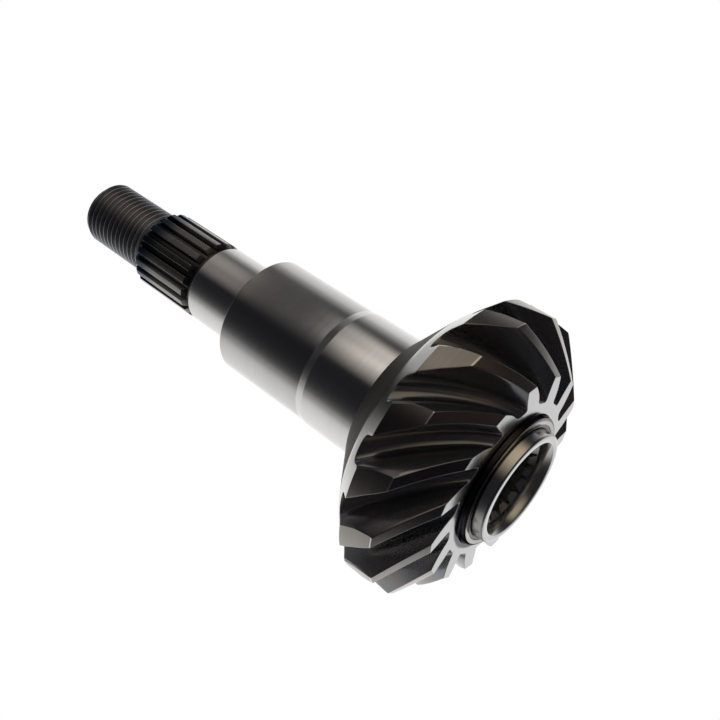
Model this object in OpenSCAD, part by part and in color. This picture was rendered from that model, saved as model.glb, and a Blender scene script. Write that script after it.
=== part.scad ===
// Spiral bevel gear cut in one piece with its stepped shaft.
// The shaft stands on the round boss of its gear end: the axis is Z, the boss's face lies at z = 0
// and the threaded end points up.

/* [Boss and neck] */
// Outside diameter of the boss at the front
boss_d = 26.4; // [24:0.1:29]
// Height of the shoulder behind the boss
boss_l = 2.5; // [1.8:0.05:4]
// Diameter of the neck behind the shoulder
neck_d = 32; // [30.5:0.1:34]
// Length of the neck, up to the toe face of the gear
neck_l = 1.35; // [0.8:0.05:3]

/* [Bevel gear] */
// Number of teeth
gear_teeth = 15; // [12:1:17]
// Outside diameter of the teeth
gear_d = 67.2; // [63:0.1:71]
// Diameter where the tops of the teeth meet the toe face
toe_d = 48.6; // [46:0.1:51]
// Length from the toe face to the thrust face
gear_l = 28.7; // [27:0.1:34]
// Length of the cylindrical stretch that the teeth end in
rim_l = 7.8; // [6:0.1:9]
// Angle between the tops of the teeth and the axis
face_angle = 51; // [49:0.5:54]
// Angle between the pitch cone and the axis
pitch_angle = 44; // [42:0.5:46]
// Angle between the bottoms of the slots and the axis
root_angle = 34; // [32:0.1:35]
// Height of a tooth above the pitch cone, at its highest corner
addendum = 3; // [2.4:0.1:3.6]
// Full depth of a slot, under the highest corner of a tooth
tooth_depth = 8.4; // [8:0.05:9.2]
// Pressure angle of the flanks
pressure_angle = 21.5; // [19:0.5:24]
// Share of the pitch that a tooth takes on the pitch cone
tooth_share = 0.418; // [0.39:0.001:0.46]
// Spiral angle at the middle of the face width
spiral_angle = 35.6; // [30:0.1:40]
// Diameter of the ring of blades that cuts the slots
cutter_d = 138; // [100:1:180]
// Width of the flat at the bottom of a slot
slot_flat = 1.2; // [0.8:0.1:1.8]
// Extra turn of a slot's bottom at the heel, from the tilt of the blades
slot_lean = 3.1; // [0:0.1:4]

/* [Back of the gear] */
// Angle between the pale back cone and the axis
back_angle = 46; // [43:0.5:49]
// Diameter of the edge where the back cone ends
back_edge_d = 56.4; // [54:0.1:58]
// Diameter of the thrust face, where the second cone ends
collar_d = 35.7; // [33:0.1:38]

/* [Shaft] */
// Diameter of the bearing seat next to the gear
seat_d = 30; // [29.8:0.1:32]
// Length from the thrust face to the far end of the taper
seat_l = 17.6; // [14:0.1:22]
// Length of the slight taper between seat and barrel
taper_l = 1.9; // [1:0.1:3]
// Diameter of the barrel
barrel_d = 29.5; // [26:0.1:29.7]
// Length of the barrel
barrel_l = 25.45; // [20:0.05:32]
// Diameter of the ground journal
journal_d = 20.3; // [18.6:0.1:23]
// Length of the ground journal
journal_l = 16.55; // [12:0.05:22]
// Diameter of the threaded end over its crests
thread_d = 16.8; // [14:0.1:17.6]
// Length of the threaded end
thread_l = 23.45; // [18:0.05:30]

/* [Outer spline] */
// Number of outer spline teeth
spline_teeth = 19; // [17:1:21]
// Diameter over the spline teeth
spline_d = 20.4; // [20:0.1:21.4]
// Length from the journal's edge to the end of the spline teeth
spline_l = 20.8; // [16:0.1:26]
// Depth of a spline groove
spline_depth = 1.1; // [0.8:0.05:1.2]
// Share of the pitch that a groove takes at its mouth
spline_mouth = 0.52; // [0.45:0.01:0.56]
// Slope of a groove's sides
spline_slope = 25; // [15:1:30]
// Length of the relief between the journal and the spline teeth
relief_l = 1.4; // [1:0.1:2.4]

/* [Bore] */
// Diameter of the conical mouth of the bore, at the boss's face
mouth_d = 22; // [21.8:0.1:22.6]
// Depth of the conical mouth
mouth_l = 1.95; // [1.2:0.05:2.4]
// Depth where the bevelled teeth of the bore start, from the boss's face
bevel_start = 3; // [2.5:0.05:4]
// Number of teeth of the spline in the bore
bore_teeth = 20; // [18:1:22]
// Diameter inside the tips of the bore's teeth
bore_d = 18.8; // [18:0.1:19.2]
// Depth of the grooves between the bore's teeth
bore_groove = 1.1; // [0.8:0.05:1.2]
// Depth of the bore's spline, from the boss's face
bore_spline_l = 22; // [16:0.5:28]
// Depth of the bore, from the boss's face to the start of its cone
bore_l = 27; // [26:0.5:34]

/* [Hidden] */
$fn = 128;

// Small roundings, chamfers and reliefs
boss_round = 0.7;
boss_groove_w = 0.7;
boss_groove_h = 0.25;
neck_fillet = 0.2;
collar_chamfer = 0.25;
barrel_chamfer = 0.4;
journal_chamfer = 0.2;
spline_chamfer = 0.7;
thread_chamfer = 0.9;
relief_step = 0.1;
bore_relief_w = 3;
bore_step = 0.05;
bore_relief_step = 0.2;
bore_slope = 25;
bore_mouth = 0.5;
drill_angle = 118;
centre_d = 4;
centre_cone_d = 7;
centre_l = 9;
centre_angle = 60;

// How far the cutting shapes run past the surfaces that they cut
past = 1;

// Heights of the turned shape's steps along the axis
toe_z = boss_l + neck_l;
face_end_z = toe_z + (gear_d - toe_d) / 2 / tan(face_angle);
heel_z = face_end_z + rim_l;
back_edge_z = heel_z + (gear_d - back_edge_d) / 2 / tan(back_angle);
thrust_z = max(toe_z + gear_l, back_edge_z + 2 * collar_chamfer);
seat_z = thrust_z + seat_l;
barrel_z = seat_z + barrel_l;
journal_z = barrel_z + journal_l;
spline_z = journal_z + spline_l;
end_z = spline_z + thread_l;

// Outer spline
relief_r = spline_d / 2 - spline_depth - relief_step;
relief_z = journal_z + relief_l;
spline_pitch = 360 / spline_teeth;
spline_phase = 11.2;

// Spline in the bore
bore_pitch = 360 / bore_teeth;
bore_phase = 4;

// Pitch cone: its apex, and every point's distance along the cone and height above it
function along(r, z) = r * sin(pitch_angle) + (z - apex_z) * cos(pitch_angle);
function above(r, z) = r * cos(pitch_angle) - (z - apex_z) * sin(pitch_angle);
function cone_r(a, h) = a * sin(pitch_angle) + h * cos(pitch_angle);
function cone_z(a, h) = apex_z + a * cos(pitch_angle) - h * sin(pitch_angle);
apex_z = face_end_z - (gear_d / 2 * cos(pitch_angle) - addendum) / sin(pitch_angle);
toe_a = along(toe_d / 2, toe_z);
heel_a = along(gear_d / 2, heel_z);
mean_a = (toe_a + heel_a) / 2;
corner_a = along(gear_d / 2, face_end_z);

// Height of the slot's bottom and of the tooth tops over the pitch cone, at the distance a
root_tilt = tan(pitch_angle - root_angle);
face_tilt = tan(face_angle - pitch_angle);
corner_root = addendum - tooth_depth / cos(pitch_angle - root_angle);
function root_h(a) = corner_root - (a - corner_a) * root_tilt;
function top_h(a) = addendum + (a - corner_a) * face_tilt;

// Tooth flank: the involute of the virtual gear that rolls on the back cone
virtual_teeth = gear_teeth / cos(pitch_angle);
function inv(angle) = tan(angle) * 180 / PI - angle;
function roll_angle(a, h) =
    let(pitch_r = a * tan(pitch_angle))
    acos(min(1, pitch_r * cos(pressure_angle) / (pitch_r + h)));
function tooth_half(a, h) =
    (tooth_share * 180 / virtual_teeth + inv(pressure_angle) - inv(roll_angle(a, h)))
    / cos(pitch_angle);
function slot_half(a, h) = 180 / gear_teeth - tooth_half(a, h);

// Lengthwise curve: the blades turn on a circle whose centre lies beside the pitch cone
cutter_r = cutter_d / 2;
centre_a = sqrt(mean_a^2 + cutter_r^2 - 2 * mean_a * cutter_r * sin(spiral_angle));
function cutter_turn(a) = acos((a^2 + centre_a^2 - cutter_r^2) / (2 * a * centre_a));
function spiral_turn(a) = (cutter_turn(a) - cutter_turn(mean_a)) / sin(pitch_angle);
function spiral_slope(a) = asin((a^2 + cutter_r^2 - centre_a^2) / (2 * a * cutter_r));
slot_phase = 0.66;

// Extra turn of a point of the slot below the pitch cone, which grows towards the heel
function lean_turn(a, h) =
    -slot_lean * max(0, (a - toe_a) / (heel_a - toe_a)) * max(0, h / root_h(a));

// Slot cutter: how far it runs past the toe and the heel corner of a tooth, the stations along
// the cone, and the steps on each fillet and each flank
toe_run = 5.4;
heel_run = 1.8;
slot_stations = 12;
fillet_steps = 3;
flank_steps = 4;
side_steps = fillet_steps + flank_steps;
slot_start = toe_a - toe_run;
slot_end = heel_a + heel_run;

// Fillet at the distance a: what the flat leaves of the slot's width, square to the slot
least_fillet = 0.2;
function fillet_size(a) =
    max(least_fillet, (slot_width(a) * cos(spiral_slope(a)) - slot_flat) / 2);
function slot_width(a) = 2 * slot_half(a, root_h(a)) * PI / 180 * cone_r(a, root_h(a));

// Height of the step j on the slot's side, from the bottom (0) to past the tooth tops
function side_h(a, j) =
    let(size = fillet_size(a), flank_h = root_h(a) + size, full = top_h(a) + past - flank_h)
    j <= fillet_steps
        ? root_h(a) + size * (1 - cos(90 * j / fillet_steps))
        : flank_h + full * (j - fillet_steps) / flank_steps;

// Half angle that the slot takes at the step j, less what the fillet fills in
function side_angle(a, j) =
    let(h = side_h(a, j), fill = fillet_size(a) / cos(spiral_slope(a)))
    slot_half(a, h)
    - (j < fillet_steps ? fill * (1 - sin(90 * j / fillet_steps)) / cone_r(a, h) * 180 / PI : 0);

function slot_point(a, side, j) =
    let(h = side_h(a, j), r = cone_r(a, h),
        turn = spiral_turn(a) + lean_turn(a, h) + side * side_angle(a, j))
    [r * cos(turn), r * sin(turn), cone_z(a, h)];

// Turned outline of the whole shaft, as [radius, height]
function shaft_outline() = [
    [0, 0],
    for (turn = [0 : 22.5 : 90])
        [boss_d / 2 - boss_round * (1 - sin(turn)), boss_round * (1 - cos(turn))],
    [boss_d / 2, boss_l + boss_groove_h],
    [boss_d / 2 + boss_groove_w, boss_l + boss_groove_h],
    [boss_d / 2 + boss_groove_w, boss_l],
    [neck_d / 2, boss_l],
    [neck_d / 2, toe_z - neck_fillet],
    [neck_d / 2 + neck_fillet, toe_z],
    [toe_d / 2, toe_z],
    [gear_d / 2, face_end_z],
    [gear_d / 2, heel_z],
    [back_edge_d / 2, back_edge_z],
    [collar_d / 2, thrust_z - collar_chamfer],
    [collar_d / 2 - collar_chamfer, thrust_z],
    [seat_d / 2, thrust_z],
    [seat_d / 2, seat_z - taper_l],
    [barrel_d / 2, seat_z],
    [barrel_d / 2, barrel_z - barrel_chamfer],
    [barrel_d / 2 - barrel_chamfer, barrel_z],
    [journal_d / 2, barrel_z],
    [journal_d / 2, journal_z - journal_chamfer],
    [journal_d / 2 - journal_chamfer, journal_z],
    [relief_r, journal_z],
    [relief_r, relief_z],
    [spline_d / 2, relief_z + spline_d / 2 - relief_r],
    [spline_d / 2, spline_z - spline_chamfer],
    [spline_d / 2 - spline_chamfer, spline_z],
    [thread_d / 2, spline_z],
    [thread_d / 2, end_z - thread_chamfer],
    [thread_d / 2 - thread_chamfer, end_z],
    [0, end_z],
];

// The shaft as it leaves the lathe
module blank() {
    color("silver")
        rotate_extrude()
            polygon(shaft_outline());
}

// One slot between two teeth, as the ring of blades sweeps it out
module tooth_slot() {
    rows = side_steps + 1;
    function at(i, side, j) = (2 * i + side) * rows + j;
    function quad(p, q, r, s) = [[p, q, r], [p, r, s]];
    spots = [
        for (i = [0 : slot_stations], side = [0, 1], j = [0 : side_steps])
            slot_point(slot_start + (slot_end - slot_start) * i / slot_stations, 2 * side - 1, j)
    ];
    flanks = [
        for (i = [0 : slot_stations - 1], j = [0 : side_steps - 1])
            each concat(
                quad(at(i, 1, j), at(i, 1, j + 1), at(i + 1, 1, j + 1), at(i + 1, 1, j)),
                quad(at(i, 0, j), at(i + 1, 0, j), at(i + 1, 0, j + 1), at(i, 0, j + 1)))
    ];
    floor_and_top = [
        for (i = [0 : slot_stations - 1])
            each concat(
                quad(at(i, 0, 0), at(i, 1, 0), at(i + 1, 1, 0), at(i + 1, 0, 0)),
                quad(at(i, 0, side_steps), at(i + 1, 0, side_steps),
                    at(i + 1, 1, side_steps), at(i, 1, side_steps)))
    ];
    ends = [
        for (j = [0 : side_steps - 1])
            each concat(
                quad(at(0, 0, j), at(0, 0, j + 1), at(0, 1, j + 1), at(0, 1, j)),
                quad(at(slot_stations, 0, j), at(slot_stations, 1, j),
                    at(slot_stations, 1, j + 1), at(slot_stations, 0, j + 1)))
    ];
    polyhedron(spots, concat(flanks, floor_and_top, ends));
}

module tooth_slots() {
    color("dimgray")
        for (k = [0 : gear_teeth - 1])
            rotate(slot_phase + 360 / gear_teeth * k)
                tooth_slot();
}

// Section of a straight groove along X: half widths at the mouth (at mouth_r) and at the bottom
module groove_section(mouth_r, bottom_r, mouth_half, slope) {
    reach = sign(mouth_r - bottom_r) * past;
    bottom_half = mouth_half - abs(mouth_r - bottom_r) * tan(slope);
    outer_half = mouth_half + past * tan(slope);
    polygon([
        [bottom_r, -bottom_half],
        [mouth_r + reach, -outer_half],
        [mouth_r + reach, outer_half],
        [bottom_r, bottom_half],
    ]);
}

module spline_grooves() {
    groove_r = spline_d / 2 - spline_depth;
    mouth_half = spline_d / 2 * sin(spline_pitch * spline_mouth / 2);
    color("gray")
        for (k = [0 : spline_teeth - 1])
            rotate(spline_phase + spline_pitch * k)
                translate([0, 0, journal_z + relief_l / 2])
                    linear_extrude(spline_l - relief_l / 2 + past)
                        groove_section(spline_d / 2, groove_r, mouth_half, spline_slope);
}

// Bore with its conical mouth, the bevelled lead into the spline, and the drilled end
module bore() {
    step_d = bore_d + 2 * (bore_groove + bore_step);
    relief_d = bore_d + 2 * (bore_groove + bore_relief_step);
    color("dimgray") {
        translate([0, 0, -past])
            cylinder(h = bore_l + past, d = bore_d);
        translate([0, 0, -past])
            cylinder(h = past, d = mouth_d);
        cylinder(h = mouth_l, d1 = mouth_d, d2 = step_d);
        translate([0, 0, mouth_l])
            cylinder(h = bevel_start - mouth_l, d = step_d);
        translate([0, 0, bevel_start])
            cylinder(h = (step_d - bore_d) / 2, d1 = step_d, d2 = bore_d);
        translate([0, 0, bore_spline_l])
            cylinder(h = bore_relief_w, d = relief_d);
        translate([0, 0, bore_l])
            cylinder(h = bore_d / 2 / tan(drill_angle / 2), d1 = bore_d, d2 = 0);
    }
}

module bore_grooves() {
    mouth_half = bore_d / 2 * sin(bore_pitch * bore_mouth / 2);
    color("dimgray")
        for (k = [0 : bore_teeth - 1])
            rotate(bore_phase + bore_pitch * k)
                translate([0, 0, bevel_start - bore_relief_w / 2])
                    linear_extrude(bore_spline_l + bore_relief_w - bevel_start)
                        groove_section(bore_d / 2, bore_d / 2 + bore_groove, mouth_half, bore_slope);
}

// Centre hole of the threaded end, for turning between centres
module centre_hole() {
    cone_l = (centre_cone_d - centre_d) / 2 / tan(centre_angle / 2);
    color("dimgray") {
        translate([0, 0, end_z - centre_l])
            cylinder(h = centre_l + past, d = centre_d);
        translate([0, 0, end_z - cone_l])
            cylinder(h = cone_l, d1 = centre_d, d2 = centre_cone_d);
    }
}

module gear_shaft() {
    difference() {
        blank();
        tooth_slots();
        spline_grooves();
        bore();
        bore_grooves();
        centre_hole();
    }
}

gear_shaft();
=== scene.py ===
"""Looks of the spiral bevel gear shaft: its skin, its finishes, and the studio round it."""

import math
from types import SimpleNamespace

import bmesh
import bpy
from bpy.props import FloatProperty, FloatVectorProperty, IntProperty, PointerProperty
from bpy.types import Operator, Panel, PropertyGroup
from mathutils import Matrix, Vector


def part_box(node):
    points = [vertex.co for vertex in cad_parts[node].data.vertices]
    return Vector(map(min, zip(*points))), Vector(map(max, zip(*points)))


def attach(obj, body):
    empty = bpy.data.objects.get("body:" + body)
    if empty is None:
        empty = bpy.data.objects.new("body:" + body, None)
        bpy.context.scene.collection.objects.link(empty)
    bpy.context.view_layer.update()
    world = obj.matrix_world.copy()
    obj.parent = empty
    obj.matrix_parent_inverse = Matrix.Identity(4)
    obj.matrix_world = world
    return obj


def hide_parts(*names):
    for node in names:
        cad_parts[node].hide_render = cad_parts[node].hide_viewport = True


bl_info = {
    "name": "Spiral bevel gear shaft",
    "version": (1, 0, 0),
    "blender": (4, 5, 0),
    "location": "View3D > Sidebar > Gear Shaft",
    "description": "Builds the skin, the finishes and the studio of a spiral bevel gear shaft",
    "category": "Object",
}

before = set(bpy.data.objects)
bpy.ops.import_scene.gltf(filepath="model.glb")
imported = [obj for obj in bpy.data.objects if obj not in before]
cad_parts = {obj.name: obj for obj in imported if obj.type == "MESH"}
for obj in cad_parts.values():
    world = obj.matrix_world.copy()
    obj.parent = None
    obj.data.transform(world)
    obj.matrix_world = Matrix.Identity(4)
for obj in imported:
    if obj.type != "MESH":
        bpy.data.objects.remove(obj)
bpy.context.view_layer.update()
NODE = "gear_shaft"
MM = 0.001
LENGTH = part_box(NODE)[1].z / MM
FULL = 2 * math.pi

# Columns of the skin round the axis and the angle of each, and steps across a spline groove
ROUND_STEPS = 240
COLUMN = FULL / ROUND_STEPS
GROOVE_STEPS = 12
# Points closer than this are merged, and heights this close count as the same, in millimetres
NEAR = 0.002
# Edges that turn more than this are crisp
CRISP = math.radians(28)
# Finishes of the skin, in the order of its material slots
FINISHES = (
    "ground", "barrel", "turned", "boss", "neck", "teeth", "heel", "flank", "toe", "back", "collar",
    "spline", "thread", "bore",
)


# Values that a user would change


def size(label, value, text):
    return FloatProperty(name=label, description=text, default=value * MM, unit="LENGTH")


def count(label, value, text):
    return IntProperty(name=label, description=text, default=value, min=8)


def angle(label, value, text):
    return FloatProperty(
        name=label, description=text, default=math.radians(value), subtype="ANGLE"
    )


def share(label, value, text):
    return FloatProperty(
        name=label, description=text, default=value, min=0, max=1, subtype="FACTOR"
    )


def tint(label, value, part):
    text = "Colour of " + part
    return FloatVectorProperty(
        name=label, description=text, default=value, size=3, min=0, max=1, subtype="COLOR"
    )


class GearSizes(PropertyGroup):
    teeth: count("Teeth", 15, "Number of gear teeth")
    outer_r: size("Outer radius", 33.6, "Radius of the teeth's outer ends")
    toe_r: size("Toe radius", 24.3, "Radius where the tooth tops meet the toe face")
    toe_z: size("Toe height", 3.85, "Height of the toe face")
    rim: size("Rim", 7.8, "Length of the cylindrical stretch of the teeth")
    face_angle: angle("Face angle", 51, "Angle between the tooth tops and the axis")
    pitch_angle: angle("Pitch angle", 44, "Angle between the pitch cone and the axis")
    root_angle: angle("Root angle", 34, "Angle between the slots' bottoms and the axis")
    back_angle: angle("Back angle", 46, "Angle between the pale back cone and the axis")
    back_edge_r: size("Back edge radius", 28.2, "Radius where the pale back cone ends")
    addendum: size("Addendum", 3, "Tooth height over the pitch cone at the highest corner")
    depth: size("Depth", 8.4, "Full depth of a slot under the highest corner")
    pressure: angle("Pressure angle", 21.5, "Pressure angle of the flanks")
    tooth_share: share("Tooth share", 0.418, "Share of the pitch that a tooth takes")
    spiral: angle("Spiral angle", 35.6, "Spiral angle at the middle of the face width")
    cutter_r: size("Cutter radius", 69, "Radius of the ring of blades that cuts the slots")
    flat: size("Slot flat", 1.2, "Width of the flat at the bottom of a slot")
    lean: angle("Slot lean", 3.1, "Extra turn of a slot's bottom at the heel")
    phase: angle("Phase", 0.66, "Turn of the first slot from the X axis")
    edge: size("Edge break", 0.1, "Width of the broken edges of the part")
    dressed: size("Dressed edge", 0.42, "Width of the dressed flank edge at the heel")


class ShaftSizes(PropertyGroup):
    boss_r: size("Boss radius", 13.2, "Radius of the boss at the front")
    boss_l: size("Boss length", 2.5, "Height of the shoulder behind the boss")
    boss_taper: size("Boss taper", 0.2, "How much narrower the boss is at its rounded edge")
    boss_round: size("Boss rounding", 0.5, "Radius of the rounded edge of the boss's face")
    neck_r: size("Neck radius", 15.5, "Radius of the neck")
    neck_round: size("Neck rounding", 0.6, "Radius of the rounded edge of the neck's shoulder")
    neck_fillet: size("Neck fillet", 0.4, "Radius of the fillet between the neck and the toe face")
    mouth_r: size("Mouth radius", 11.2, "Radius of the bore's conical mouth at the boss's face")
    mouth_l: size("Mouth depth", 1.6, "Depth of the bore's conical mouth")
    bore_r: size("Bore radius", 9.4, "Radius inside the tips of the bore's teeth")
    bore_groove: size("Bore groove", 1.1, "Depth of the grooves between the bore's teeth")
    bore_teeth: count("Bore teeth", 20, "Number of teeth in the bore")
    bevel_start: size("Bevel start", 3, "Depth where the bore's bevelled teeth start")
    bore_spline_z: size("Bore spline end", 22, "Depth where the bore's teeth end")
    bore_relief_z: size("Bore relief end", 25, "Depth where the relief behind the teeth ends")
    bore_z: size("Bore end", 27, "Depth where the drilled point starts")
    collar_r: size("Collar radius", 17.85, "Radius of the thrust collar")
    thrust_z: size("Thrust height", 32.55, "Height of the thrust face")
    seat_r: size("Seat radius", 15, "Radius of the bearing seat")
    seat_z: size("Seat end", 50.15, "Height of the taper's end behind the bearing seat")
    barrel_r: size("Barrel radius", 14.75, "Radius of the long barrel")
    barrel_z: size("Barrel end", 75.6, "Height of the long barrel's shoulder")
    journal_r: size("Journal radius", 10.15, "Radius of the ground journal")
    journal_z: size("Journal end", 92.15, "Height of the journal's end")
    relief_r: size("Relief radius", 9, "Radius of the relief behind the journal")
    spline_r: size("Spline radius", 10.2, "Radius over the outer spline teeth")
    spline_z: size("Spline end", 112.95, "Height of the spline's end face")
    spline_teeth: count("Spline teeth", 19, "Number of teeth on the outer spline")
    groove: size("Groove depth", 1.1, "Depth of an outer spline groove")
    thread_r: size("Thread radius", 8.4, "Radius over the thread's crests")
    pitch: size("Thread pitch", 1.65, "Distance between the thread's crests")
    thread_depth: size("Thread depth", 0.95, "Depth of the thread")


class FinishColours(PropertyGroup):
    ground: tint("Ground steel", (0.60, 0.59, 0.575), "the ground barrels")
    barrel: tint("Barrel", (0.51, 0.50, 0.49), "the long barrel")
    turned: tint("Turned steel", (0.56, 0.55, 0.53), "the shoulder round the boss")
    boss: tint("Boss", (0.68, 0.67, 0.65), "the boss's outer wall")
    # The neck's near-black colour is painted shade in the recess between the boss's shoulder and the
    # toe face
    neck: tint("Neck", (0.05, 0.05, 0.056), "the dark neck before the toe face")
    toe: tint("Toe face", (0.71, 0.71, 0.705), "the toe face")
    back: tint("Back cone", (0.58, 0.575, 0.56), "the pale back cone")
    teeth: tint("Tooth tops", (0.42, 0.40, 0.375), "the turned tops of the teeth")
    heel: tint("Heel", (0.25, 0.23, 0.21), "the teeth's outer ends")
    flank: tint("Flanks", (0.26, 0.24, 0.23), "the cut flanks and slots")
    collar: tint("Dark cone", (0.23, 0.215, 0.2), "the dark cone before the collar")
    spline: tint("Spline steel", (0.28, 0.265, 0.25), "the outer spline")
    blue: tint("Heat tint", (0.035, 0.055, 0.085), "the heated end of the spline")
    oxide: tint("Oxide", (0.5, 0.51, 0.54), "the oxide on the threaded end")
    bore: tint("Bore", (0.50, 0.49, 0.47), "the bore and its teeth")


def fields(group):
    """The group's own properties."""
    return [p for p in group.bl_rna.properties if p.identifier not in ("rna_type", "name")]


def numbers(group):
    """The group's values, with lengths in millimetres and angles in radians."""
    found = {}
    for prop in fields(group):
        value = getattr(group, prop.identifier)
        found[prop.identifier] = value / MM if prop.unit == "LENGTH" else value
    return SimpleNamespace(**found)


# Objects and meshes


def put(name, data):
    """A new object in the scene, with this data."""
    made = bpy.data.objects.new(name, data)
    bpy.context.scene.collection.objects.link(made)
    return made


def polar(radius, height, turn):
    return Vector((radius * math.cos(turn), radius * math.sin(turn), height))


def sheet(bm, columns, rows, place):
    """A grid whose vertex in column i and row j lies at place(i, j)."""
    made = bmesh.ops.create_grid(bm, x_segments=columns, y_segments=rows, size=1)["verts"]
    for vert in made:
        i, j = (vert.co.x + 1) / 2 * columns, (vert.co.y + 1) / 2 * rows
        vert.co = place(round(i), round(j))


def everything(bm):
    return bm.verts[:] + bm.edges[:] + bm.faces[:]


def spin(bm, geom, turn, steps, rise=0, **settings):
    """Spins the geometry round the axis through the angle turn, rising at each step."""
    bmesh.ops.spin(
        bm, geom=geom, cent=(0, 0, 0), axis=(0, 0, 1), dvec=(0, 0, rise), angle=turn, steps=steps,
        **settings,
    )


def round_copies(bm, copies):
    """Copies everything in the mesh round the axis, until there are this many of it."""
    spin(bm, everything(bm), FULL * (copies - 1) / copies, copies - 1, use_duplicate=True)
    weld(bm)


def weld(bm):
    bmesh.ops.remove_doubles(bm, verts=bm.verts[:], dist=NEAR)


def line(bm, spots):
    """Edges through the spots, ready to be spun."""
    verts = [bm.verts.new(spot) for spot in spots]
    edges = [bm.edges.new(pair) for pair in zip(verts, verts[1:])]
    return verts + edges


def add_mesh(bm, other):
    """Puts the other mesh into this one."""
    data = bpy.data.meshes.new("part")
    other.to_mesh(data)
    bm.from_mesh(data)
    bpy.data.meshes.remove(data)
    other.free()


def turned(bm, outline, start):
    """Adds the outline of (radius, height) points, spun round the axis from the angle start."""
    lathe = bmesh.new()
    geom = line(lathe, [polar(r, z, start) for r, z in outline])
    spin(lathe, geom, FULL, ROUND_STEPS, use_merge=True)
    add_mesh(bm, lathe)


def arc(centre_r, centre_z, bend, first, last):
    """Points (radius, height) of an arc between two angles in degrees, 0 pointing outward."""
    steps = 6
    turns = [math.radians(first + (last - first) * k / steps) for k in range(steps + 1)]
    return [(centre_r + bend * math.cos(t), centre_z + bend * math.sin(t)) for t in turns]


def open_edges(bm, height):
    """The edges at this height that fewer than two faces share."""
    return [
        e for e in bm.edges
        if len(e.link_faces) < 2 and all(abs(v.co.z - height) < NEAR for v in e.verts)
    ]


def lie_of(face):
    """The face's centre, its radius, and the share of the normal that points outward."""
    c, n = face.calc_center_median(), face.normal
    r = math.hypot(c.x, c.y)
    return c, r, (n.x * c.x + n.y * c.y) / max(1e-6, r)


# The gear's teeth


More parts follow.
